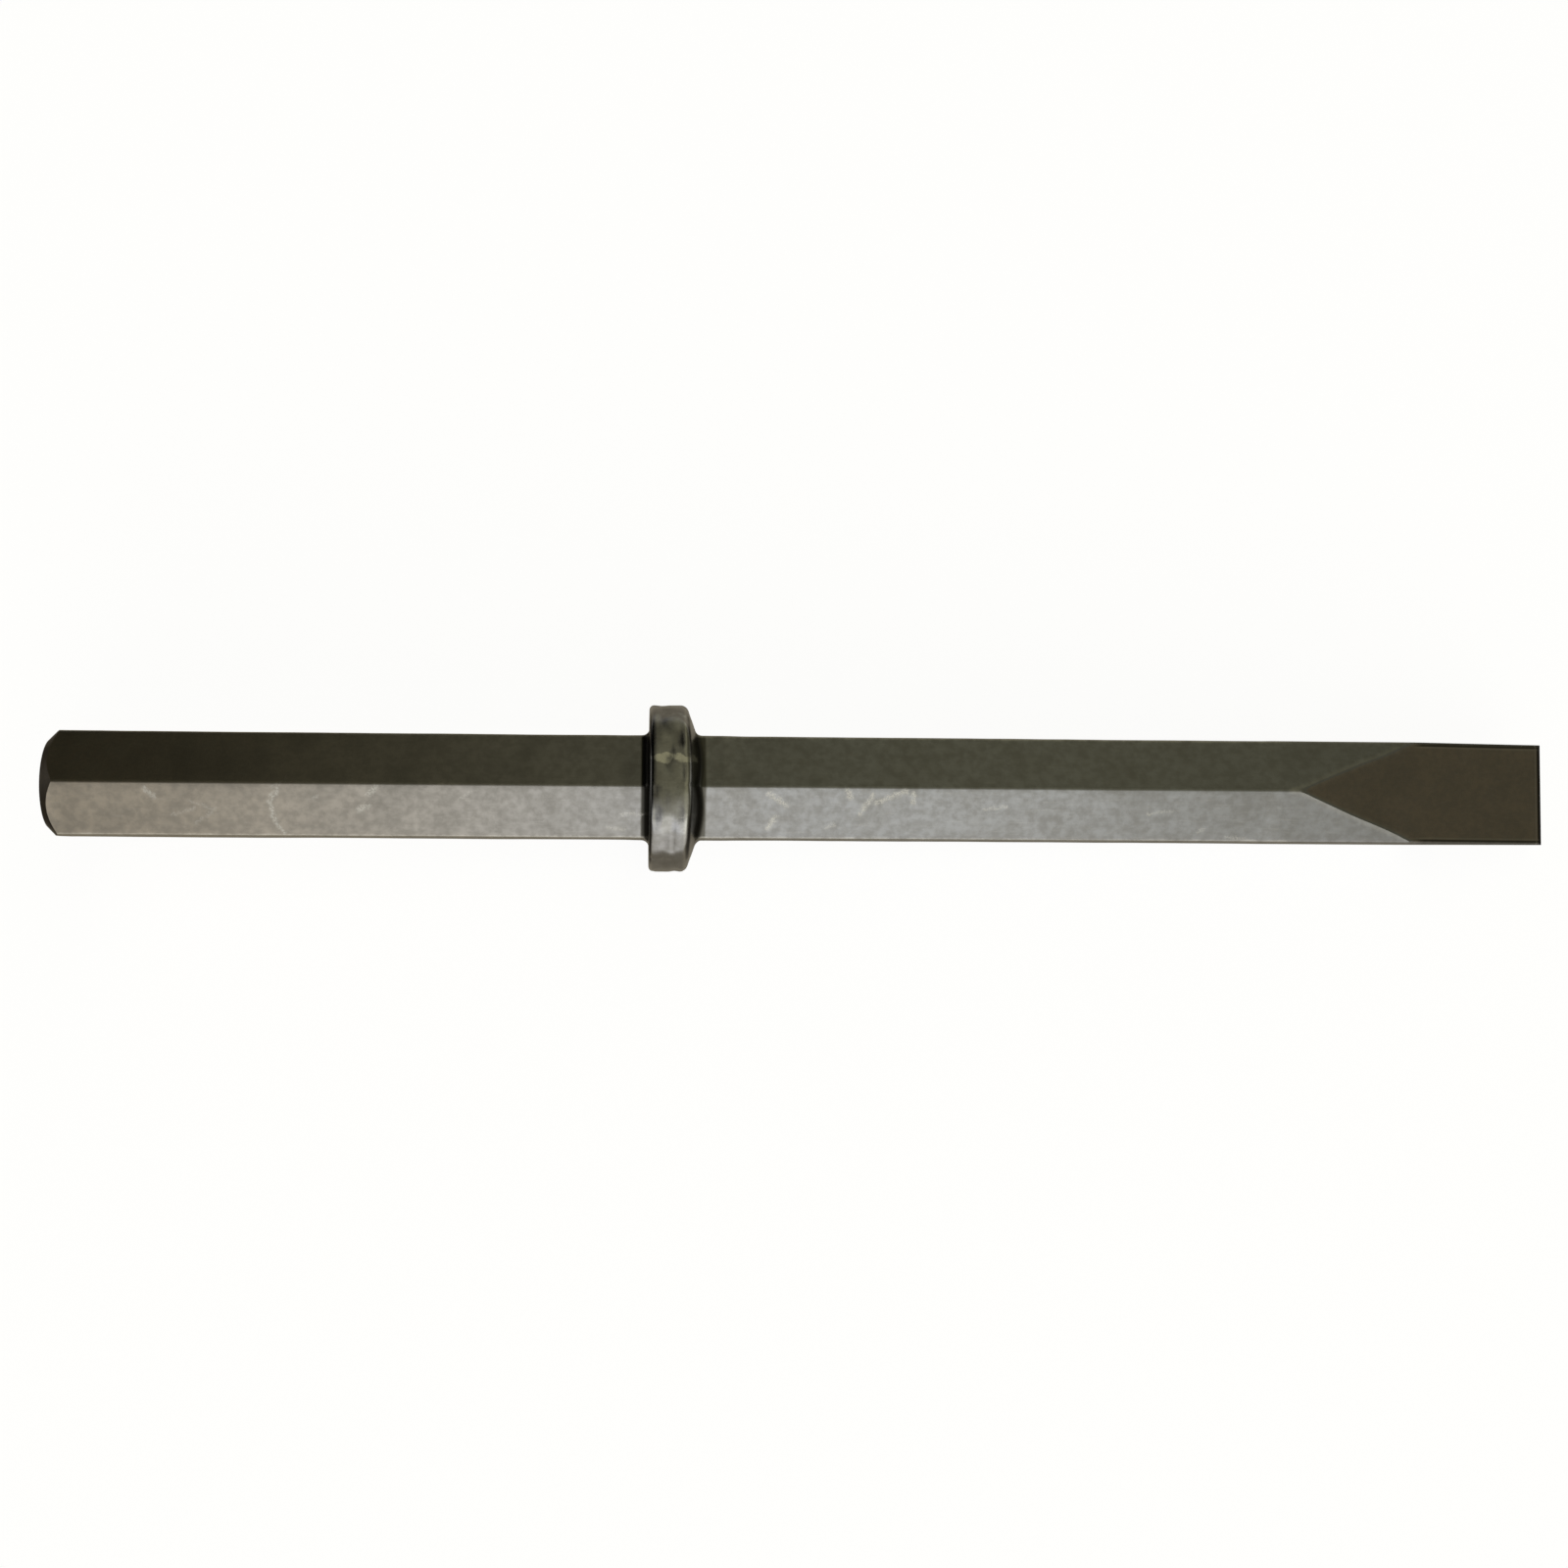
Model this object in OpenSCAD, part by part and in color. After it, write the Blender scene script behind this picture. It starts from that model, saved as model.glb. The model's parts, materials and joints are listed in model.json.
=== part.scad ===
// Collared chisel with a hexagon shank, for a breaker hammer.
// The tool is one steel forging. Each module below is a zone of it: the shank that
// goes into the hammer, the collar upset round the bar, the bar below the collar, and
// the blade. The zones meet face to face.
// Every zone is drawn along X, struck face at 0, a corner of the bar up. Then it is laid
// down as the tool lies by itself: on the rim of its collar and on one flat of the bar.

/* [Bar] */
// Width of the hexagon bar across its flats
bar_af = 28; // [22:1:34]
// How far each long corner is rounded back from a sharp hexagon
corner_relief = 0.5; // [0.1:0.1:1]

/* [Lengths] */
// Overall length, struck face to cutting edge
overall_l = 410; // [320:5:600]
// Length of the shank, struck face to the collar's seat
shank_l = 160; // [110:5:200]
// Plain bar that belongs to the blade, ahead of its bevels
blade_root_l = 6; // [2:1:20]

/* [Struck end] */
// Diameter of the flat struck face
struck_face_d = 24; // [16:1:25]
// Angle between the tool's axis and the chamfer round the struck face
struck_chamfer_angle = 45; // [30:5:60]

/* [Collar] */
// Diameter of the rim
collar_d = 45.5; // [44:0.5:60]
// Width of the rim, along the tool
rim_w = 11; // [6:0.5:20]
// Rounding of the rim's two edges
rim_round = 1; // [0.5:0.1:2]
// Length of the sloping shoulder, from the rim down to the bar's flats
shoulder_l = 3.5; // [2:0.5:10]

/* [Blade] */
// Length of the two bevels, along the tool
bevel_l = 72; // [50:1:110]
// Depth of the hollow at the middle of each bevel
bevel_hollow = 0.8; // [0.4:0.1:2]
// Thickness of the blade where the short steep grind starts
edge_t = 3; // [2:0.5:5]
// Length of the short steep grind, along the tool
grind_l = 1.2; // [0.6:0.2:3]
// Width of the flat land that is left along the cutting edge
land_t = 0.8; // [0.2:0.2:1]

/* [Hidden] */

STEEL = [0.47, 0.46, 0.42];
SCALE = [0.30, 0.29, 0.25];
// Segments on the bar's rounded corners and the collar, and on the wide bevel arcs
ROUND_FN = 96;
HOLLOW_FN = 720;
// Chords in the rounding of a rim edge
RIM_STEPS = 5;
// How far a cutting tool runs past what it cuts
past = 1;
// Rounds of settling the angles at which the tool lies
SETTLE_TURNS = 4;

corner_r = bar_af / sqrt(3) - corner_relief;
collar_r = collar_d / 2;
face_r = struck_face_d / 2;

body_end_x = overall_l - bevel_l - blade_root_l;
bevel_x = overall_l - bevel_l;
grind_x = overall_l - grind_l;

// Each bevel is an arc from the bar's corner to the start of the grind.
bevel_run = grind_x - bevel_x;
bevel_drop = corner_r - edge_t / 2;
bevel_chord = sqrt(bevel_run * bevel_run + bevel_drop * bevel_drop);
hollow_r = (bevel_chord * bevel_chord / 4 + bevel_hollow * bevel_hollow) / (2 * bevel_hollow);
hollow_lift = hollow_r - bevel_hollow;
hollow_x = (bevel_x + grind_x) / 2 + hollow_lift * bevel_drop / bevel_chord;
hollow_z = (corner_r + edge_t / 2) / 2 + hollow_lift * bevel_run / bevel_chord;

// The rim's blade-side edge is rounded between the rim and the shoulder's slope.
shoulder_angle = atan((collar_r - bar_af / 2) / shoulder_l);
rim_edge_x = rim_w - rim_round * tan(shoulder_angle / 2);

// At rest the tool leans on that rounded edge and on one flat of the bar, where the
// bevel cuts the flat off: the cut runs aslant, from the flat's near side to its far side.
flat_half_w = sqrt(corner_r * corner_r - bar_af * bar_af / 4);
near_x = bevel_x_at(bar_af / 2 * cos(30) + flat_half_w * sin(30));
far_x = bevel_x_at(bar_af / 2 * cos(30) - flat_half_w * sin(30));
lean_x = shank_l + rim_edge_x;

// The slant of that cut turns the flat a few degrees out of level as the tool tips, and
// the turn changes how far it tips, so the two angles are settled in turns.
level_tilt = atan((collar_r - bar_af / 2) / (near_x - lean_x));
tilt = settled_tilt(level_tilt, SETTLE_TURNS);
turn = flat_turn(tilt);
roll = 30 - turn;

rest_lift = near_x * sin(tilt) + flat_drop(turn) * cos(tilt);
low_x = -face_r * sin(tilt);
edge_corner_z = bar_af / 2 * sin(roll) + land_t / 2 * cos(roll);
high_x = overall_l * cos(tilt) + edge_corner_z * sin(tilt);

// Place along the tool where a bevel stands at this height above the tool's axis.
function bevel_x_at(height) = hollow_x - sqrt(hollow_r * hollow_r - (hollow_z - height) * (hollow_z - height));

// Turn of the resting flat out of level that brings both ends of its cut to the ground.
function flat_turn(tilt) = asin((far_x - near_x) * tan(tilt) / (2 * flat_half_w));

// Depth of the flat's near side below the tool's axis, once the flat is turned.
function flat_drop(turn) = bar_af / 2 * cos(turn) + flat_half_w * sin(turn);

function settled_tilt(tilt, turns) =
    turns == 0
        ? tilt
        : settled_tilt(atan((collar_r - flat_drop(flat_turn(tilt))) / (near_x - lean_x)), turns - 1);

// Lays the tool down, with the origin under the middle of its length.
module at_rest() {
    translate([-(low_x + high_x) / 2, 0, rest_lift])
        rotate([0, tilt, 0])
            rotate([roll, 0, 0])
                children();
}

// A length of hexagon bar with a corner up, a corner down and a flat on each side.
module bar(from_x, to_x) {
    translate([from_x, 0, 0])
        rotate([0, 90, 0])
            intersection() {
                cylinder(h = to_x - from_x, r = bar_af / sqrt(3), $fn = 6);
                cylinder(h = to_x - from_x, r = corner_r, $fn = ROUND_FN);
            }
}

// Points of an arc, from one angle to another.
function arc(centre, radius, from_angle, to_angle, steps) = [
    for (i = [0:steps])
        let (angle = from_angle + (to_angle - from_angle) * i / steps)
            centre + radius * [cos(angle), sin(angle)]
];

// Half section of the collar: radius across, place along the tool up.
module collar_section() {
    edge_r = collar_r - rim_round;
    polygon(concat(
        [[0, 0]],
        arc([edge_r, rim_round], rim_round, -90, 0, RIM_STEPS),
        arc([edge_r, rim_edge_x], rim_round, 0, shoulder_angle, RIM_STEPS),
        [[bar_af / 2, rim_w + shoulder_l], [0, rim_w + shoulder_l]]
    ));
}

// Takes the metal off above one bevel: the hollow, then the steep grind at its end.
module bevel_cut() {
    width = bar_af + 2 * past;
    translate([hollow_x, 0, hollow_z])
        rotate([90, 0, 0])
            cylinder(h = width, r = hollow_r, center = true, $fn = HOLLOW_FN);
    translate([0, width / 2, 0])
        rotate([90, 0, 0])
            linear_extrude(height = width)
                polygon([
                    [grind_x, edge_t / 2],
                    [overall_l, land_t / 2],
                    [overall_l + past, land_t / 2],
                    [overall_l + past, edge_t],
                    [grind_x, edge_t]
                ]);
}

module shank() {
    color(STEEL)
        at_rest()
            intersection() {
                bar(0, shank_l);
                rotate([0, 90, 0])
                    cylinder(
                        h = shank_l,
                        r1 = face_r,
                        r2 = face_r + shank_l * tan(struck_chamfer_angle),
                        $fn = ROUND_FN
                    );
            }
}

module collar() {
    color(SCALE)
        at_rest()
            difference() {
                translate([shank_l, 0, 0])
                    rotate([0, 90, 0])
                        rotate_extrude($fn = ROUND_FN)
                            collar_section();
                bar(shank_l - past, shank_l + rim_w + shoulder_l + past);
            }
}

module body() {
    color(STEEL)
        at_rest()
            bar(shank_l, body_end_x);
}

module blade() {
    color(STEEL)
        at_rest()
            difference() {
                bar(body_end_x, overall_l);
                bevel_cut();
                mirror([0, 0, 1])
                    bevel_cut();
            }
}

shank();
collar();
body();
blade();
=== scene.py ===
# %% [markdown]
# # A collared chisel, forged from one bar
#
# The tool is a single steel forging: a hexagon shank, a collar upset round it, more
# plain bar, and a blade ground to an edge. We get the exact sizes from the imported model,
# and use Blender for what a drawing leaves out: rounded corners, fillets, the slight
# unevenness of hammered steel, and the look of its oxide skin.

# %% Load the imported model
import json
import math
import random
import bmesh
import bpy
from mathutils import Matrix, Quaternion, Vector, noise


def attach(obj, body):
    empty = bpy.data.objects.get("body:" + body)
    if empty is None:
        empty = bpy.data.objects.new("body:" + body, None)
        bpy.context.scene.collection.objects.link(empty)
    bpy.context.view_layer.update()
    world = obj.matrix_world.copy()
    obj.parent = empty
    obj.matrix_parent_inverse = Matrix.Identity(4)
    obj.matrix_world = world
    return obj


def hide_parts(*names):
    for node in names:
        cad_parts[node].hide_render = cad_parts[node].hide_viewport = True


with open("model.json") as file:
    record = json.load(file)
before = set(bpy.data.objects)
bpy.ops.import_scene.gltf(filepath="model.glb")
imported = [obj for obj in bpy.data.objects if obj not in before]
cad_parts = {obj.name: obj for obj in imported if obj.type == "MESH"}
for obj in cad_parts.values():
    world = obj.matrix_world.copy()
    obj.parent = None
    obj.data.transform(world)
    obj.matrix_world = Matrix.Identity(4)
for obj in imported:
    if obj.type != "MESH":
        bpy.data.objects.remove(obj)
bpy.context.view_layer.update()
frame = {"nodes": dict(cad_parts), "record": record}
print("packed nodes:", sorted(frame["nodes"]))

# %% [markdown]
# ## The tool's own axes
#
# The chisel lies tipped on its collar, so none of its faces is square to the world. Every
# piece could be drawn aslant, but it is far easier to draw it straight, along X with a
# corner up, and turn the finished mesh once. The mounts say where those axes lie: the
# struck face faces backwards along the tool, and the seat's mark is on the top corner.

# %% Find the axes
MM = 0.001

mounts = {mount["name"]: mount for mount in frame["record"]["mounts"]}
struck_face = Vector(mounts["striking_face"]["pos_m"])
along = -Vector(mounts["striking_face"]["axis"]).normalized()
to_seat_mark = Vector(mounts["collar_seat"]["pos_m"]) - struck_face
ridge = (to_seat_mark - along * to_seat_mark.dot(along)).normalized()
across = ridge.cross(along)
turn = Matrix((along, across, ridge)).transposed()
tool_axes = Matrix.LocRotScale(struck_face, turn, Vector((MM, MM, MM)))


def reach(node):
    """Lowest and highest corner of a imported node, in millimetres along the tool's axes."""
    back = tool_axes.inverted()
    corners = [back @ vertex.co for vertex in frame["nodes"][node].data.vertices]
    return Vector(map(min, zip(*corners))), Vector(map(max, zip(*corners)))


for name in sorted(frame["nodes"]):
    low, high = reach(name)
    print(name, [round(value, 2) for value in low], [round(value, 2) for value in high])

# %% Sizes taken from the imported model
seat_x = reach("collar")[0].x
rim_r = reach("collar")[1].z
half_flats = reach("shank")[1].y
bevel_root_x = reach("blade")[0].x
tip_x = reach("blade")[1].x
sharp_r = 2 * half_flats / math.sqrt(3)
ROUNDING_GAP = 0.002
print("seat at", round(seat_x, 2), "rim radius", round(rim_r, 2), "tip at", round(tip_x, 2))

# %% [markdown]
# ## A length of bar
#
# The bar is a hexagon with a corner up. It could be a six-sided cylinder, but such a
# cylinder has knife-sharp corners and nothing between its ends that could be uneven. So we
# draw one section, round its corners, divide its flats, and draw it out in short steps,
# as a rolling mill would. The steps give the metal enough points to be slightly wavy.

# %% Draw one section and pull it into a bar
CORNER_OFFSET = 0.65
CORNER_STEPS = 4
FLAT_CUTS = 9
STEP = 1.5

section_turn = Matrix(((0, 0, 1, 0), (1, 0, 0, 0), (0, 1, 0, 0), (0, 0, 0, 1)))


def bar_section(bm, at_x):
    """One face across the bar: a hexagon with its corners rounded and flats divided."""
    bmesh.ops.create_circle(bm, cap_ends=True, segments=6, radius=sharp_r, matrix=section_turn)
    bmesh.ops.bevel(
        bm, geom=bm.verts[:], offset=CORNER_OFFSET, offset_type="OFFSET",
        segments=CORNER_STEPS, profile=0.5, affect="VERTICES", material=-1,
    )
    flats = [edge for edge in bm.edges if edge.calc_length() > half_flats / 2]
    bmesh.ops.subdivide_edges(bm, edges=flats, cuts=FLAT_CUTS)
    bmesh.ops.translate(bm, verts=bm.verts[:], vec=(at_x, 0, 0))
    return bm.faces[:][0]


def settle_order(bm):
    """Puts edges and faces in the order of their points, so that every run is the same."""
    bm.verts.index_update()
    count = len(bm.verts)

    def rank(part):
        lowest = sorted(vertex.index for vertex in part.verts)[:3]
        return sum(index * count ** (2 - place) for place, index in enumerate(lowest))

    bm.edges.sort(key=rank)
    bm.faces.sort(key=rank)
    bm.edges.index_update()
    bm.faces.index_update()


def draw_out(bm, face, places):
    """Extrudes an end face from each place to the next. Only the first and last face stay."""
    start_face = face
    for here, there in zip(places, places[1:]):
        grown = bmesh.ops.extrude_face_region(bm, geom=[face])["geom"]
        if face is not start_face:
            bmesh.ops.delete(bm, geom=[face], context="FACES_ONLY")
        face = next(part for part in grown if isinstance(part, bmesh.types.BMFace))
        moved = [part for part in grown if isinstance(part, bmesh.types.BMVert)]
        bmesh.ops.translate(bm, verts=moved, vec=(there - here, 0, 0))
    settle_order(bm)


def stations(start, end, step=STEP):
    """Evenly spaced places along the tool, both ends among them."""
    count = max(1, round((end - start) / step))
    return [start + (end - start) * index / count for index in range(count + 1)]


# %% [markdown]
# ## The unevenness of forged steel
#
# No forged face is flat: the dies and the scale leave it gently wavy. A displacement
# texture could do this while rendering, but then the exported mesh would be flat. We move
# the points instead, always inwards, so that the bar never grows past its drawn size. The
# waves die away at the seams between pieces, and the pieces keep meeting exactly.

# %% Make a surface slightly wavy
WAVE_DEPTH = 0.16
WAVE_FADE = 5.0
BROAD_SHARE = 0.55
FINE_SHARE = 0.2


def wave(point):
    """A number from 0 to 1 that changes slowly over the surface."""
    broad = noise.noise(Vector((point.x / 26, point.y / 9, point.z / 9)))
    fine = noise.noise(Vector((point.x / 7, point.y / 4, point.z / 4)) + Vector((40, 0, 0)))
    return min(1, max(0, 0.5 + BROAD_SHARE * broad + FINE_SHARE * fine))


def fade(x, seams):
    """0 at a seam, 1 well away from it."""
    nearest = min(abs(x - seam) for seam in seams)
    share = min(1, nearest / WAVE_FADE)
    return share * share * (3 - 2 * share)


def make_wavy(bm, seams):
    """Moves each point towards the tool's axis by the depth of the wave there."""
    for vertex in bm.verts:
        radial = Vector((0, vertex.co.y, vertex.co.z))
        if radial.length > half_flats / 2:
            depth = WAVE_DEPTH * wave(vertex.co) * fade(vertex.co.x, seams)
            vertex.co -= radial.normalized() * depth


# %% [markdown]
# ## Finishing a piece
#
# Every piece ends the same way: normals outwards, smooth shading except at true edges,
# then the one turn that lays it down. The caps where pieces meet are inside the metal, but
# they keep each mesh closed. Their rims are marked sharp, so that the light runs across
# a seam as if it weren't there.

# %% Turn a bmesh into a finished piece
CREASE = math.radians(28)
DOUBLE_WITHIN = 0.0005


def finish_piece(bm, name, node):
    """Lays the piece down, gives it its place in the frame and hides the node it replaces."""
    bmesh.ops.remove_doubles(bm, verts=bm.verts[:], dist=DOUBLE_WITHIN)
    bmesh.ops.recalc_face_normals(bm, faces=bm.faces[:])
    settle_order(bm)
    for face in bm.faces:
        face.smooth = True
    for edge in bm.edges:
        edge.smooth = len(edge.link_faces) == 2 and edge.calc_face_angle() < CREASE
    bmesh.ops.transform(bm, matrix=tool_axes, verts=bm.verts[:])
    mesh = bpy.data.meshes.new(name)
    open_edges = sum(1 for edge in bm.edges if len(edge.link_faces) != 2)
    bm.to_mesh(mesh)
    bm.free()
    piece = bpy.data.objects.new(name, mesh)
    bpy.context.scene.collection.objects.link(piece)
    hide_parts(node)
    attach(piece, "root")
    print(name, "faces", len(mesh.polygons), "open edges", open_edges)
    return piece


# %% [markdown]
# ## The shank
#
# The shank's free end is what the hammer strikes. It is turned to a cone, so that its
# corners don't mushroom. A cone meets six flats in six curved lines. A boolean would cut
# them, with ragged triangles beside each. Instead we slide the first few sections along the
# bar, each line of points to where the cone would meet it.

# %% Model the shank
FACE_R = 12.0
CONE_STEPS = 6
SLIDE_END = 9.0
SLIDE_STEP = 1.0
FILLET_AT_SEAT = 2.0

cone_end = sharp_r - FACE_R
shank_end_x = seat_x - FILLET_AT_SEAT


def turn_cone(bm):
    """Slides the first sections so that they follow the cone round the struck face."""
    for vertex in bm.verts:
        radial = Vector((0, vertex.co.y, vertex.co.z))
        own_cone_end = radial.length - FACE_R
        if radial.length < FACE_R or vertex.co.x > SLIDE_END:
            continue
        if vertex.co.x <= cone_end + 1e-4:
            share = vertex.co.x / cone_end
            radius = FACE_R + share * own_cone_end
            vertex.co = radial.normalized() * radius + Vector((share * own_cone_end, 0, 0))
        else:
            share = (vertex.co.x - cone_end) / (SLIDE_END - cone_end)
            vertex.co.x = own_cone_end + share * (SLIDE_END - own_cone_end)


shank = bmesh.new()
first = bar_section(shank, 0)
places = stations(0, cone_end, cone_end / CONE_STEPS)
places += stations(cone_end, SLIDE_END, SLIDE_STEP)[1:]
places += stations(SLIDE_END, shank_end_x)[1:]
draw_out(shank, first, places)
turn_cone(shank)
make_wavy(shank, [0, shank_end_x])
shank_piece = finish_piece(shank, "shank_bar", "shank")

# %% [markdown]
# ## The collar
#
# The collar stops the tool in the hammer. It was upset from the bar while hot, so it
# flows into the bar through a small fillet on one side and a steep sloping shoulder on
# the other. A spun profile would be round all the way in and couldn't meet a hexagon. Here
# each line of points on the bar follows a profile of its own, from the bar's surface at
# that line, up over the rim and down again. The rim is full on top and worn narrower
# towards its sides, so the profile changes a little on the way round.

# %% The collar's profile above one line of the bar
RIM_END_WORN = 8.4
RIM_END_FULL = 10.0
SEAT_EDGE_ROUND = 1.2
EDGE_ROUND_WORN = 2.4
EDGE_ROUND_FULL = 1.4
SHOULDER_SLOPE = math.radians(71)
FOOT_FILLET_WORN = 2.6
FOOT_FILLET_FULL = 1.6
ARC_STEPS = 6
RIM_STEPS = 10
COLLAR_END_GAP = 20.0

collar_end_x = seat_x + COLLAR_END_GAP


def arc(centre_x, centre_r, radius, from_angle, to_angle, steps):
    """Points of an arc as (place along the tool, distance from its axis)."""
    return [
        (
            centre_x + radius * math.cos(from_angle + (to_angle - from_angle) * index / steps),
            centre_r + radius * math.sin(from_angle + (to_angle - from_angle) * index / steps),
        )
        for index in range(steps + 1)
    ]


def spread(start, end, steps):
    """Points between two places, without the two ends."""
    return [
        tuple(a + (b - a) * index / steps for a, b in zip(start, end))
        for index in range(1, steps)
    ]


def collar_profile(bar_r, fullness):
    """From the shank's end over the rim to the plain bar, where the bar is bar_r thick."""
    quarter = math.pi / 2
    rim_end = RIM_END_WORN + (RIM_END_FULL - RIM_END_WORN) * fullness
    foot_fillet = FOOT_FILLET_WORN + (FOOT_FILLET_FULL - FOOT_FILLET_WORN) * fullness
    seat_fillet = arc(shank_end_x, bar_r + FILLET_AT_SEAT, FILLET_AT_SEAT, -quarter, 0, ARC_STEPS)
    rounding = SEAT_EDGE_ROUND
    rim_top = arc(seat_x + rounding, rim_r - rounding, rounding, 2 * quarter, quarter, ARC_STEPS)
    rounding = EDGE_ROUND_WORN + (EDGE_ROUND_FULL - EDGE_ROUND_WORN) * fullness
    down = quarter - SHOULDER_SLOPE
    rim_foot = arc(seat_x + rim_end, rim_r - rounding, rounding, quarter, down, ARC_STEPS)
    foot_r = bar_r + foot_fillet * (1 - math.cos(SHOULDER_SLOPE))
    last_x, last_r = rim_foot[-1]
    foot_x = last_x + (last_r - foot_r) / math.tan(SHOULDER_SLOPE)
    centre_x = foot_x + foot_fillet * math.sin(SHOULDER_SLOPE)
    from_slope = -quarter - SHOULDER_SLOPE
    foot = arc(centre_x, bar_r + foot_fillet, foot_fillet, from_slope, -quarter, ARC_STEPS)
    profile = seat_fillet + spread(seat_fillet[-1], rim_top[0], 4) + rim_top
    profile += spread(rim_top[-1], rim_foot[0], RIM_STEPS) + rim_foot
    profile += spread(rim_foot[-1], foot[0], 4) + foot
    return profile + spread(foot[-1], (collar_end_x, bar_r), 4) + [(collar_end_x, bar_r)]


# %% Model the collar
NICK_DEPTH = 0.7
WEAR_REACH = 3
SPOT_SIZE = 3.1
PATCH_SIZE = 9


def rim_wear(point, radius):
    """How far the battered rim has lost metal, more near its edges than between them."""
    if radius < rim_r - WEAR_REACH:
        return 0
    spot = noise.noise(point / SPOT_SIZE + Vector((7, 3, 1)))
    broad = noise.noise(point / PATCH_SIZE + Vector((1, 8, 2)))
    return NICK_DEPTH * (max(0, spot) ** 1.5 * 1.6 + max(0, 0.3 * broad))


collar = bmesh.new()
profile_length = len(collar_profile(half_flats, 0))
draw_out(collar, bar_section(collar, 0), list(range(profile_length)))
for vertex in collar.verts:
    radial = Vector((0, vertex.co.y, vertex.co.z))
    fullness = max(0, radial.normalized().z) ** 2
    x, radius = collar_profile(radial.length, fullness)[round(vertex.co.x)]
    spot = radial.normalized() * radius + Vector((x, 0, 0))
    vertex.co = spot - radial.normalized() * rim_wear(spot, radius)
collar_piece = finish_piece(collar, "collar_ring", "collar")

# %% [markdown]
# ## The body
#
# Below the collar the bar is plain. It is the same drawn section again.

# %% Model the body
body = bmesh.new()
draw_out(body, bar_section(body, collar_end_x), stations(collar_end_x, bevel_root_x))
make_wavy(body, [collar_end_x, bevel_root_x])
body_piece = finish_piece(body, "body_bar", "body")

# %% [markdown]
# ## The blade
#
# Two long bevels are ground on the bar until they nearly meet. A wheel leaves them
# slightly hollow. A boolean with a huge cylinder would cut that, but a flat cut is
# cleaner. So we use a bench trick: bow the bar, cut it flat, and let it spring back. Since
# every point goes back exactly where it was, only the cut ends up hollow.

# %% Sizes of the grind
BEVEL_START = 6.0
HOLLOW = 0.8
EDGE_HALF = 1.5
GRIND_LENGTH = 1.2
LAND_HALF = 0.4
SIDE_CHAMFER = 1.1
BEVEL_WAVE = 0.08
OUTLINE_WANDER = 0.4
WANDER_ENDS = 0.45
WANDER_FADE = 0.15
CUT_WITHIN = 1e-4

ridge_r = reach("shank")[1].z
bevel_x = bevel_root_x + BEVEL_START
grind_x = tip_x - GRIND_LENGTH
bevel_slope = (ridge_r - EDGE_HALF) / (grind_x - bevel_x)


def bow(point):
    """How far the ground face lies below a straight line between its two ends."""
    share = min(1, max(0, (point.x - bevel_x) / (grind_x - bevel_x)))
    ripple = BEVEL_WAVE * noise.noise(Vector((point.x / 9, point.y / 8, 5)))
    outwards = min(1, abs(point.y) / half_flats) ** 2
    outwards *= 1 - min(1, max(0, (share - WANDER_ENDS) / WANDER_FADE))
    wander = OUTLINE_WANDER * outwards * noise.noise(Vector((point.x / 13, 2, 9)))
    return 4 * share * (1 - share) * (HOLLOW + ripple + wander)


def bend(bm, amount):
    """Moves every point up or down by its share of the bow."""
    for vertex in bm.verts:
        vertex.co.z += amount * bow(vertex.co)


def cut_flat(bm, point, normal):
    """Takes off what is past a plane and closes the bar there."""
    geometry = bm.verts[:] + bm.edges[:] + bm.faces[:]
    cut = bmesh.ops.bisect_plane(
        bm, geom=geometry, dist=CUT_WITHIN, plane_co=point, plane_no=normal, clear_outer=True,
    )["geom_cut"]
    rim = [part for part in cut if isinstance(part, bmesh.types.BMEdge)]
    bmesh.ops.holes_fill(bm, edges=rim, sides=0)
    settle_order(bm)


def slice_faces(bm, normal, places):
    """Divides the wide ground faces, so that they can bend and be wavy."""
    for place in places:
        wide = [face for face in bm.faces if len(face.verts) > 4 or face.calc_area() > 4]
        parts = dict.fromkeys(part for face in wide for part in (*face.verts, *face.edges, face))
        bmesh.ops.bisect_plane(
            bm, geom=list(parts), dist=CUT_WITHIN, plane_co=Vector(normal) * place,
            plane_no=normal,
        )
        settle_order(bm)


# %% Model the blade
blade = bmesh.new()
places = stations(bevel_root_x, tip_x - ROUNDING_GAP)
draw_out(blade, bar_section(blade, bevel_root_x), places)
for way in (1, -1):
    bend(blade, way)
    cut_flat(blade, (bevel_x, 0, way * ridge_r), (bevel_slope, 0, way))
    for edge_side in (1, -1):
        corner = Vector((grind_x, edge_side * (half_flats - SIDE_CHAMFER / 2), way * EDGE_HALF))
        cut_flat(blade, corner, (bevel_slope, edge_side, way))
    slice_faces(blade, (1, 0, 0), places)
    slice_faces(blade, (0, 1, 0), stations(-half_flats, half_flats))
    bend(blade, -way)
for way in (1, -1):
    steep = (EDGE_HALF - LAND_HALF) / GRIND_LENGTH
    cut_flat(blade, (grind_x, 0, way * EDGE_HALF), (steep, 0, way))
blade_piece = finish_piece(blade, "blade_end", "blade")

# %% [markdown]
# ## Shader maths in plain Python
#
# A finish is a small calculation at every point of the surface. Built from Math nodes by
# hand it is hard to read, so a thin class wraps a socket and lets us write it as sums. Each
# operator adds its Math nodes and returns the output, wrapped again.

# %% Wrap a node socket


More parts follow.
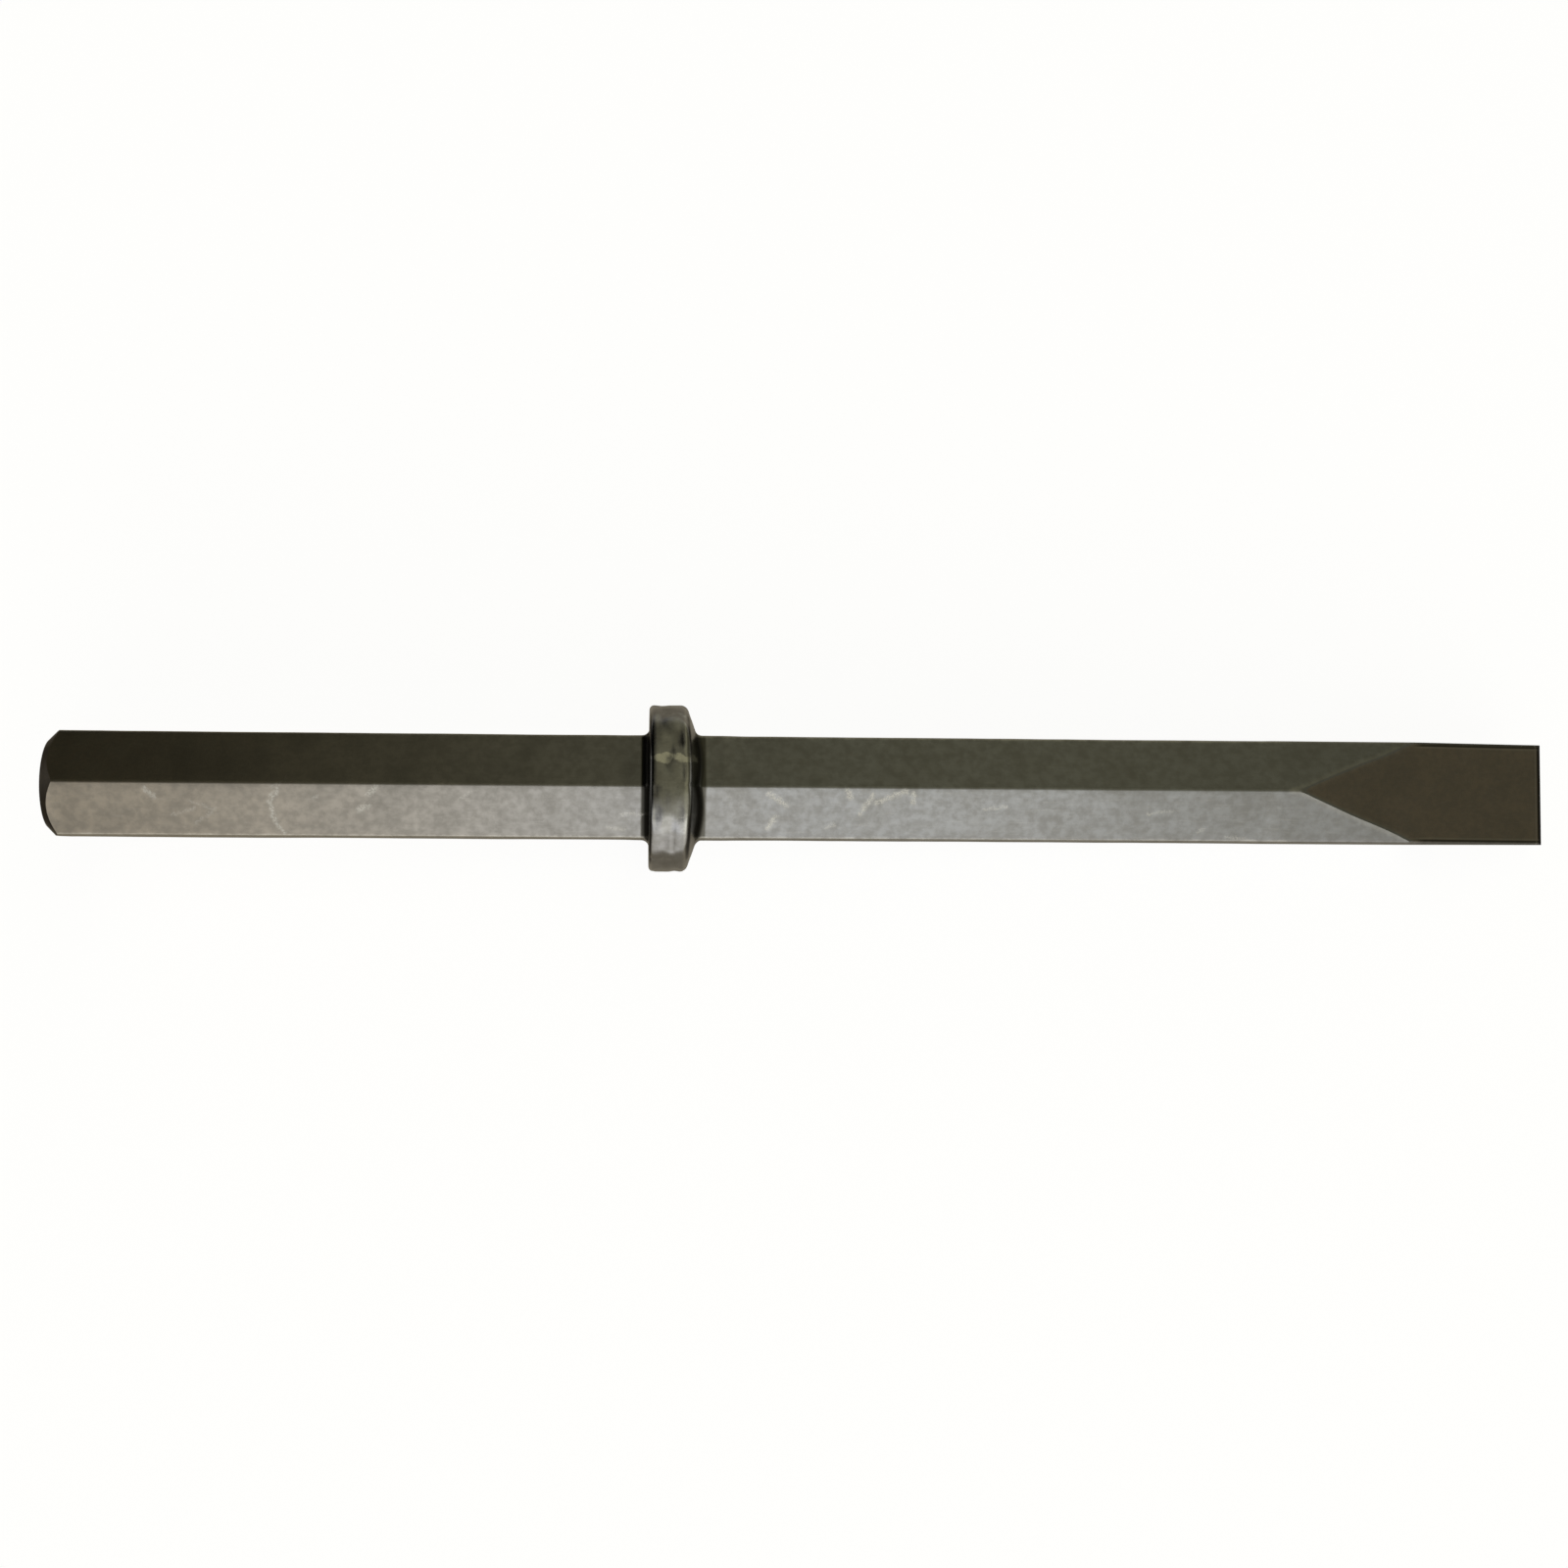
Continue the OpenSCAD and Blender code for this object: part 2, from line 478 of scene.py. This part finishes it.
class Value:
    """A node's output, which Python's operators can calculate with."""

    def __init__(self, bench, socket):
        self.bench = bench
        self.socket = socket

    def maths(self, operation, *others):
        inputs = dict(enumerate((self, *others)))
        return self.bench.add("ShaderNodeMath", {"operation": operation}, inputs)

    def __add__(self, other):
        return self.maths("ADD", other)

    __radd__ = __add__

    def __mul__(self, other):
        return self.maths("MULTIPLY", other)

    __rmul__ = __mul__

    def __sub__(self, other):
        return self.maths("SUBTRACT", other)

    def __rsub__(self, other):
        return (self * -1) + other

    def least(self, other):
        return self.maths("MINIMUM", other)

    def most(self, other):
        return self.maths("MAXIMUM", other)

    def size(self):
        return self.maths("ABSOLUTE")

    def root(self):
        return self.maths("SQRT")

    def ramp(self, low, high):
        """0 below low, 1 above high, and a smooth rise between them."""
        settings = {"interpolation_type": "SMOOTHSTEP"}
        inputs = {"Value": self, "From Min": low, "From Max": high}
        return self.bench.add("ShaderNodeMapRange", settings, inputs)


class Bench:
    """The node tree of one finish."""

    def __init__(self, tree):
        self.tree = tree

    def node(self, kind, settings=None, inputs=None):
        made = self.tree.nodes.new(kind)
        for name, setting in (settings or {}).items():
            setattr(made, name, setting)
        for key, given in (inputs or {}).items():
            if isinstance(given, Value):
                self.tree.links.new(given.socket, made.inputs[key])
            else:
                made.inputs[key].default_value = given
        return made

    def add(self, kind, settings=None, inputs=None, output=0):
        return Value(self, self.node(kind, settings, inputs).outputs[output])

    def blend(self, share, first, second):
        """Mixes two colours."""
        settings = {"data_type": "RGBA"}
        return self.add("ShaderNodeMix", settings, {0: share, 6: first, 7: second}, 2)

    def noise(self, where, scale, detail=4.0, roughness=0.55):
        inputs = {"Vector": where, "Scale": scale, "Detail": detail, "Roughness": roughness}
        return self.add("ShaderNodeTexNoise", None, inputs)


# %% [markdown]
# ## The steel
#
# Hot steel grows a thin oxide skin: dark and mottled, and here a little warmer in tone on the
# shank than towards the blade. Handling polishes its corners and scuffs its flats; the
# polished corners also carry a painted highlight along the ridge.
# A picture of steel wrapped round the tool would show seams, and it would be stuck at one
# size. A calculated finish is sharp at any distance. It reads the tool's own axes in
# millimetres, so that "near a corner" is a simple sum.

# %% Set up the finish and its measures
steel = bpy.data.materials.new("forged_steel_skin")
steel.use_nodes = True
steel.node_tree.nodes.clear()
bench = Bench(steel.node_tree)

objects = bench.add("ShaderNodeTexCoord", output=3)
mapping = {
    "Vector": objects,
    "Location": tool_axes.to_translation(),
    "Rotation": turn.to_euler(),
    "Scale": (MM, MM, MM),
}
where = bench.add("ShaderNodeMapping", {"vector_type": "TEXTURE"}, mapping)
split = bench.node("ShaderNodeSeparateXYZ", None, {0: where})
x, y, z = (Value(bench, socket) for socket in split.outputs)

# %% Distance to the nearest edge
COLLAR_STARTS = 0.3
COLLAR_FULL = 1.2

to_side = half_flats - y.size()
to_slant = (sharp_r - z.size() - y.size() * (1 / math.sqrt(3))) * math.cos(math.radians(30))
bevel_share = ((x - bevel_x) * (1 / (grind_x - bevel_x))).most(0).least(1)
bevel_line = ridge_r - (x - bevel_x) * bevel_slope
bevel_line = bevel_line - bevel_share * (1 - bevel_share) * (4 * HOLLOW)
to_bevel = (bevel_line - z.size()).size()
lower = to_side.least(to_slant)
upper = to_side.most(to_slant)
edge_distance = lower.most(upper.least(to_bevel))
from_axis = (y * y + z * z).root()
on_collar = from_axis.ramp(sharp_r + COLLAR_STARTS, sharp_r + COLLAR_FULL)
rim_middle = RIM_END_FULL / 2
collar_edge = (rim_r - from_axis).most(rim_middle - (x - seat_x - rim_middle).size())
print("bevel hollow, mm:", HOLLOW)

# %% Mottle and broad clouds
MOTTLE_SCALE = 0.42
SPECKLE_SCALE = 2.4
CLOUD_SCALE = 0.09
DRAWN_SCALE = 1.6
DRAWN_STRETCH = (0.12, 1.0, 1.0)

mottle = bench.noise(where, MOTTLE_SCALE, detail=6.0, roughness=0.6)
speckle = bench.noise(where, SPECKLE_SCALE, detail=3.0, roughness=0.6)
cloud = bench.noise(where, CLOUD_SCALE, detail=3.0, roughness=0.5)
drawn_where = bench.add("ShaderNodeMapping", None, {"Vector": where, "Scale": DRAWN_STRETCH})
drawn = bench.noise(drawn_where, DRAWN_SCALE, detail=4.0, roughness=0.6)
print("a mottle patch is about", round(1 / MOTTLE_SCALE, 1), "mm wide")

# %% [markdown]
# ### Scuffs
#
# Knocks leave bright marks that are short, jagged and few. Noise alone spreads them evenly,
# which looks like a pattern. So the few that catch the eye on the showing flat are placed one
# by one, each as the distance to a short line on that flat. Fainter ones are drawn at random,
# always the same ones. Noise frays them all, and a sparse noise marks the other flats.

# %% Scuffs on the showing flat
# Points are places along and across the flat in millimetres.
LONG_SCUFF = [(62, 2), (60, 5), (61, 10), (63, 13)]
SHORT_SCUFFS = [
    [(28, 2), (30, 4)],
    [(86, 3), (88, 1)],
    [(83, 7), (86, 6)],
    [(192, 2), (197, 5)],
    [(192, 11), (194, 8)],
    [(213, 1), (214, 3)],
    [(220, 2), (217, 7)],
    [(221, 4), (229, 1)],
    [(231, 2), (231, 4)],
]
SCUFF_WIDTH = 0.8
FAINT_COUNT = 16
FAINT_WIDTH = 0.5
FAINT_LENGTHS = (1.5, 7)
FAINT_SLANT = math.radians(35)
FAINT_FIRST_X = 12
FAINT_END_GAP = 15
DRAW_SEED = 11
FRAY_ALONG = 3.5
FRAY_ACROSS = 3.0
STROKE_CORE = 0.1
STROKE_FADE = 1.4
BOLD_PATCHES = (0.32, 0.62)
FAINT_PATCHES = (0.3, 0.7)
SPARSE_PATCHES = (0.66, 0.78)

frayed_x = x + (bench.noise(where, 0.5, detail=5.0, roughness=0.75) - 0.5) * FRAY_ALONG
frayed_y = -1 * y + (bench.noise(where, 0.6, detail=5.0, roughness=0.75) - 0.5) * FRAY_ACROSS


def stroke(start, end, width):
    """1 within a short line's width on the flat, 0 away from it."""
    run_x, run_y = end[0] - start[0], end[1] - start[1]
    off_x, off_y = frayed_x - start[0], frayed_y - start[1]
    share = (off_x * run_x + off_y * run_y) * (1 / (run_x**2 + run_y**2))
    share = share.most(0).least(1)
    far_x, far_y = off_x - share * run_x, off_y - share * run_y
    return 1 - (far_x * far_x + far_y * far_y).root().ramp(width * STROKE_CORE, width * STROKE_FADE)


def strongest(strokes):
    """The brightest of several strokes at each point."""
    result = strokes[0]
    for other in strokes[1:]:
        result = result.most(other)
    return result


draw = random.Random(DRAW_SEED)
faint_lines = []
for _ in range(FAINT_COUNT):
    start_x = draw.uniform(FAINT_FIRST_X, bevel_x - FAINT_END_GAP)
    start = (start_x, draw.uniform(1, half_flats - 1))
    length = draw.uniform(*FAINT_LENGTHS)
    slant = draw.uniform(-FAINT_SLANT, FAINT_SLANT)
    end = (start[0] + length * math.cos(slant), start[1] + length * math.sin(slant))
    faint_lines.append((start, end))

lines = list(zip(LONG_SCUFF, LONG_SCUFF[1:])) + SHORT_SCUFFS
showing = z.ramp(0, 1)
placed = strongest([stroke(start, end, SCUFF_WIDTH) for start, end in lines])
placed = placed * showing * speckle.ramp(*BOLD_PATCHES)
faint = strongest([stroke(start, end, FAINT_WIDTH) for start, end in faint_lines])
faint = faint * showing * speckle.ramp(*FAINT_PATCHES)
sparse = bench.noise(drawn_where, 0.9, detail=5.0, roughness=0.7).ramp(*SPARSE_PATCHES)
print("scuffs placed by hand:", len(lines), "drawn:", len(faint_lines))

# %% [markdown]
# ### Wear, painted highlight and painted shade
#
# Corners lose their skin first, in a ragged line, so the edge distance is disturbed by the
# mottle before it is compared; along the ridge this brightening is also a painted highlight.
# One long rub crosses the collar's rim. The two corners beside the collar are darkened with
# painted shade.

# %% Wear along the edges with a painted ridge highlight, the rub on the collar and painted shade beside it
WEAR_RAGGED = 0.8
WEAR_WIDTH = (0.15, 0.9)
BLADE_WEAR_LOSS = 0.7
BLADE_WEAR_FADE = 6
RIM_WEAR_WIDTH = (0.2, 1.2)
SMEAR_Y = 7.2
SMEAR_SCALE = 0.28
SMEAR_WANDER = 6
SMEAR_WIDTH = (0.5, 1.5)
WARM_TO_COOL = (-30, 215)
SEAT_SHADE_X = seat_x - 1.0
SEAT_SHADE_WIDTH = (0.9, 1.5)
FOOT_SHADE_X = seat_x + 13.4
FOOT_SHADE_WIDTH = (1.4, 2.2)

# Edge wear along the bar's corners, partly real polish and partly a painted highlight along the
# ridge.
worn_and_ridge_highlight = 1 - (edge_distance + (mottle - 0.5) * WEAR_RAGGED).ramp(*WEAR_WIDTH)
worn_and_ridge_highlight = worn_and_ridge_highlight * (1 - on_collar)
worn_and_ridge_highlight = worn_and_ridge_highlight * (1 - x.ramp(bevel_x - BLADE_WEAR_FADE, bevel_x) * BLADE_WEAR_LOSS)
rim_worn = (1 - (collar_edge + (mottle - 0.5)).ramp(*RIM_WEAR_WIDTH)) * on_collar
smear_y = y - SMEAR_Y
smear_line = bench.noise(where, SMEAR_SCALE, detail=3.0, roughness=0.6)
smear_y = (smear_y + (smear_line - 0.5) * SMEAR_WANDER).size()
smear = (1 - smear_y.ramp(*SMEAR_WIDTH)) * on_collar * showing
warmth = 1 - x.ramp(*WARM_TO_COOL)
# Painted shade: darkens the fillet corners on both sides of the collar, where shade falls.
seat_shade = 1 - (x - SEAT_SHADE_X).size().ramp(*SEAT_SHADE_WIDTH)
foot_shade = 1 - (x - FOOT_SHADE_X).size().ramp(*FOOT_SHADE_WIDTH)
corner_shade = seat_shade.most(foot_shade) * (1 - from_axis.ramp(rim_r - 3, rim_r - 1))
print("crust lies round", round(SEAT_SHADE_X, 1), "and", round(FOOT_SHADE_X, 1), "mm")

# %% Where the blade is ground, with painted shade and a painted highlight along its edges
SIDE_REACHED = (32, 36)
# Widths of the painted shade along the blade's sides and its end.
EDGE_SHADE_BAND = (1.0, 1.25)
END_SHADE_BAND = (grind_x - 0.3, grind_x - 0.1)
# Places of the painted highlight lines along the blade's sides and its end.
SIDE_HIGHLIGHT = ((1.1, 1.3), (1.5, 1.8))
END_HIGHLIGHT = ((grind_x - 0.9, grind_x - 0.7), (grind_x - 0.5, grind_x - 0.3))


def stripe(distance, rise, fall):
    """1 between a rise and a fall of a distance, 0 outside."""
    return distance.ramp(*rise) * (1 - distance.ramp(*fall))


on_bevel = lower.ramp(0.2, 0.4) * x.ramp(bevel_x, bevel_x + 1)
side_reached = x.ramp(bevel_x + SIDE_REACHED[0], bevel_x + SIDE_REACHED[1])
# Painted shade: a dark reflection painted along the blade's side edges and its end.
painted_edge_shade = (1 - to_side.ramp(*EDGE_SHADE_BAND)) * side_reached
painted_edge_shade = painted_edge_shade.most(x.ramp(*END_SHADE_BAND))
# Painted highlight: a thin bright line just inside the dark edge, along the sides and the end.
painted_edge_highlight = stripe(to_side, *SIDE_HIGHLIGHT) * side_reached
end_highlight = stripe(x, *END_HIGHLIGHT)
painted_edge_highlight = painted_edge_highlight.most(end_highlight)
print("the end grind starts at", round(grind_x, 1), "mm")

# %% [markdown]
# ### Colour, roughness and relief
#
# Steel is a metal through and through, so its colour is the colour of its reflections. Each
# layer is mixed over the last: skin, ground bevel, mottle, painted shade in the collar's
# corners and along the blade's edges, then bare bright metal with painted highlights mixed in.
# Roughness and a very shallow relief follow the same masks, so that the layers agree.

# %% Colour
WARM_SKIN = (0.51, 0.445, 0.352, 1)
COOL_SKIN = (0.352, 0.358, 0.371, 1)
DARK_SKIN = (0.22, 0.21, 0.19, 1)
# The dark colour of painted shade, in the collar's corners and along the blade's ground edges.
PAINTED_SHADE = (0.10, 0.095, 0.08, 1)
# Bare bright metal for scuffs and wear, also the colour of the painted highlights.
BARE_METAL_AND_HIGHLIGHT = (0.80, 0.785, 0.73, 1)
GROUND_SKIN = (0.42, 0.355, 0.30, 1)
MOTTLE_SHARE = 0.36
CLOUD_SHARE = 0.25
DRAWN_SHARE = 0.08
PAINTED_SHADE_SHARE = 0.9
BOLD_SHARE = 0.7
FAINT_SHARE = 0.35
SPARSE_SHARE = 0.2
HIGHLIGHT_SHARE = 0.2
RIM_SHARE = 0.3
# Share of the edge wear, which is partly a painted ridge highlight.
WEAR_HIGHLIGHT_SHARE = 0.5

skin = bench.blend(warmth, COOL_SKIN, WARM_SKIN)
skin = bench.blend(on_bevel, skin, GROUND_SKIN)
skin = bench.blend(mottle.ramp(0.35, 0.65) * MOTTLE_SHARE, skin, DARK_SKIN)
skin = bench.blend(cloud.ramp(0.4, 0.7) * CLOUD_SHARE, skin, DARK_SKIN)
skin = bench.blend(drawn.ramp(0.5, 0.8) * DRAWN_SHARE, skin, BARE_METAL_AND_HIGHLIGHT)
# Painted shade in the two fillet corners beside the collar.
skin = bench.blend(corner_shade * PAINTED_SHADE_SHARE, skin, PAINTED_SHADE)
# Painted shade along the blade's ground edges.
skin = bench.blend(painted_edge_shade * PAINTED_SHADE_SHARE, skin, PAINTED_SHADE)
scuffed = placed * BOLD_SHARE + faint * FAINT_SHARE + sparse * SPARSE_SHARE
skin = bench.blend(scuffed, skin, BARE_METAL_AND_HIGHLIGHT)
# Rubs and wear, with the painted edge highlight and the painted ridge highlight mixed in.
rubbed_and_highlit = painted_edge_highlight * HIGHLIGHT_SHARE + smear + rim_worn * RIM_SHARE + worn_and_ridge_highlight * WEAR_HIGHLIGHT_SHARE
skin = bench.blend(rubbed_and_highlit, skin, BARE_METAL_AND_HIGHLIGHT)
print("nodes so far:", len(steel.node_tree.nodes))

# %% Roughness and relief
ROUGHNESS = 0.34
MOTTLE_ROUGH = 0.16
SPECKLE_ROUGH = 0.08
COLLAR_POLISH = 0.14
SCUFF_ROUGH = 0.1
RELIEF_STRENGTH = 0.25
RELIEF_DEPTH = 0.12 * MM

roughness = ROUGHNESS + (mottle - 0.5) * MOTTLE_ROUGH + (speckle - 0.5) * SPECKLE_ROUGH
roughness = roughness - on_collar * COLLAR_POLISH + placed * SCUFF_ROUGH
relief = mottle * 0.5 + speckle * 0.2 + drawn * 0.2 - placed * 0.3 + smear * 0.3

heights = {"Strength": RELIEF_STRENGTH, "Distance": RELIEF_DEPTH, "Height": relief}
bump = bench.add("ShaderNodeBump", None, heights)
shader = bench.node(
    "ShaderNodeBsdfPrincipled", None,
    {"Base Color": skin, "Metallic": 1.0, "Roughness": roughness, "Normal": bump},
)
bench.node("ShaderNodeOutputMaterial", None, {0: Value(bench, shader.outputs[0])})
for piece in (shank_piece, collar_piece, body_piece, blade_piece):
    piece.data.materials.append(steel)
print("finish nodes:", len(steel.node_tree.nodes))

# %% [markdown]
# ## Floor, light and camera
#
# Bright metal shows its surroundings, so the light is mostly a matter of what the tool
# reflects. A long soft panel stands low at the front for the lower flat. Above and behind
# it stays dark, and the upper flat reflects that. A dim light from both sides and from low
# behind lifts the far faces a little. The floor is plain and pale, and the tool doesn't
# mirror it.

# %% Floor
FLOOR_HALF = 12.0
FLOOR_GREY = (0.55, 0.55, 0.55, 1)
FLOOR_GLOW = 0.92

floor_mesh = bpy.data.meshes.new("floor")
bm = bmesh.new()
bmesh.ops.create_grid(bm, x_segments=1, y_segments=1, size=FLOOR_HALF)
bm.to_mesh(floor_mesh)
bm.free()
floor = bpy.data.objects.new("floor", floor_mesh)
bpy.context.scene.collection.objects.link(floor)
floor.visible_glossy = False
floor.visible_shadow = False
pale = bpy.data.materials.new("pale_floor")
pale.use_nodes = True
paint = pale.node_tree.nodes["Principled BSDF"]
paint.inputs["Base Color"].default_value = FLOOR_GREY
paint.inputs["Roughness"].default_value = 1.0
paint.inputs["Specular IOR Level"].default_value = 0.0
paint.inputs["Emission Color"].default_value = (1, 1, 1, 1)
paint.inputs["Emission Strength"].default_value = FLOOR_GLOW
floor_mesh.materials.append(pale)
print("floor, metres across:", 2 * FLOOR_HALF)

# %% [markdown]
# ### The room
#
# The room is only a calculation on the direction a ray leaves in: a sky that is dark at the
# struck end, a wide pale card at the front, a dim ground, and a fill where the other three
# are dark. It is the same whatever side the tool is seen from.

# %% Surroundings
SKY_TINT = (1.0, 0.96, 0.64, 1)
CARD_TINT = (1.0, 1.0, 0.99, 1)
GROUND_TINT = (1.0, 0.90, 0.70, 1)
SKY_STRENGTH = 0.28
SKY_LEAST = 0.002
CARD_STRENGTH = 0.61
CARD_MIDDLE = 0.02
CARD_LOW_GAIN = 0.3
GROUND_STRENGTH = 0.28
FILL_STRENGTH = 0.22

world = bpy.data.worlds.new("studio")
bpy.context.scene.world = world
world.use_nodes = True
world.node_tree.nodes.clear()
room = Bench(world.node_tree)
look = room.add("ShaderNodeTexCoord", output=0)
look_split = room.node("ShaderNodeSeparateXYZ", None, {0: look})
look_x, look_y, look_z = (Value(room, socket) for socket in look_split.outputs)

above = look_z.ramp(-0.1, 0.1)
sky = look_x.ramp(-0.13, 0.12) * (1 - look_x.ramp(0.1, 0.6) * 0.72) * SKY_STRENGTH + SKY_LEAST
sky = sky * above * (1.25 - look_y.ramp(-0.4, 0.2) * 0.25)
sky_tint = room.blend(look_x.ramp(-0.3, 0.1), CARD_TINT, SKY_TINT)
towards_front = 1 - look_y.ramp(-0.8, -0.4)
card_height = look_z.ramp(-0.58, -0.48) * (1 - look_z.ramp(0.15, 0.95))
card_height = card_height * (1 + CARD_LOW_GAIN - look_z.ramp(-0.3, 0.2) * CARD_LOW_GAIN)
card = towards_front * card_height
card = card * (1 - (look_x - CARD_MIDDLE).size().ramp(0.0, 0.75)) * CARD_STRENGTH
aside = look_x.size().ramp(0.8, 0.97)
behind = look_y.ramp(0.6, 0.9) * (1 - look_z.ramp(0.0, 0.25))
fill = aside.most(behind) * above * FILL_STRENGTH
ground = (1 - above) * (1 - look_x.size().ramp(0.3, 0.7) * 0.9) * GROUND_STRENGTH


def glow(strength, tint):
    """One part of the light that comes from all round."""
    return room.add("ShaderNodeBackground", None, {"Color": tint, "Strength": strength})


air = room.add("ShaderNodeAddShader", None, {0: glow(sky, sky_tint), 1: glow(card, CARD_TINT)})
air = room.add("ShaderNodeAddShader", None, {0: air, 1: glow(ground, GROUND_TINT)})
air = room.add("ShaderNodeAddShader", None, {0: air, 1: glow(fill, CARD_TINT)})
room.node("ShaderNodeOutputWorld", None, {0: air})


# %% Lights
def soft_panel(name, place, aim, size, power):
    """A large rectangular soft light, turned towards a point."""
    light = bpy.data.lights.new(name, "AREA")
    light.shape = "RECTANGLE"
    light.size, light.size_y = size
    light.energy = power
    lamp = bpy.data.objects.new(name, light)
    lamp.location = place
    lamp.rotation_euler = (Vector(aim) - Vector(place)).to_track_quat("-Z", "Y").to_euler()
    bpy.context.scene.collection.objects.link(lamp)


soft_panel("front_panel", (0.06, -1.5, 0.32), (0, 0, 0.02), (0.8, 0.6), 0.9)

# %% [markdown]
# ### Camera
#
# The camera looks down steeply at the middle of the tool, from the front and slightly from
# the struck end, with a normal lens. Its place follows from where it looks and how far off
# it stands.

# %% Camera
AIM = Vector((-0.0075, 0.0070, 0.0109))
DISTANCE = 0.6043
ELEVATION = math.radians(63.1)
SWING = math.radians(3.19)
ROLL = math.radians(2.05)
LENS = 49.5
SENSOR = 36.0
CLIP_START = 0.01

sight = Vector((
    math.sin(SWING) * math.cos(ELEVATION),
    math.cos(SWING) * math.cos(ELEVATION),
    -math.sin(ELEVATION),
))
camera_data = bpy.data.cameras.new("camera")
camera_data.lens = LENS
camera_data.sensor_width = SENSOR
camera_data.clip_start = CLIP_START
camera = bpy.data.objects.new("camera", camera_data)
camera.location = AIM - sight * DISTANCE
camera.rotation_mode = "QUATERNION"
camera.rotation_quaternion = sight.to_track_quat("-Z", "Y") @ Quaternion((0, 0, 1), ROLL)
bpy.context.scene.collection.objects.link(camera)
bpy.context.scene.camera = camera
bpy.context.scene.view_settings.view_transform = "Standard"
print("camera at", [round(value, 3) for value in camera.location])
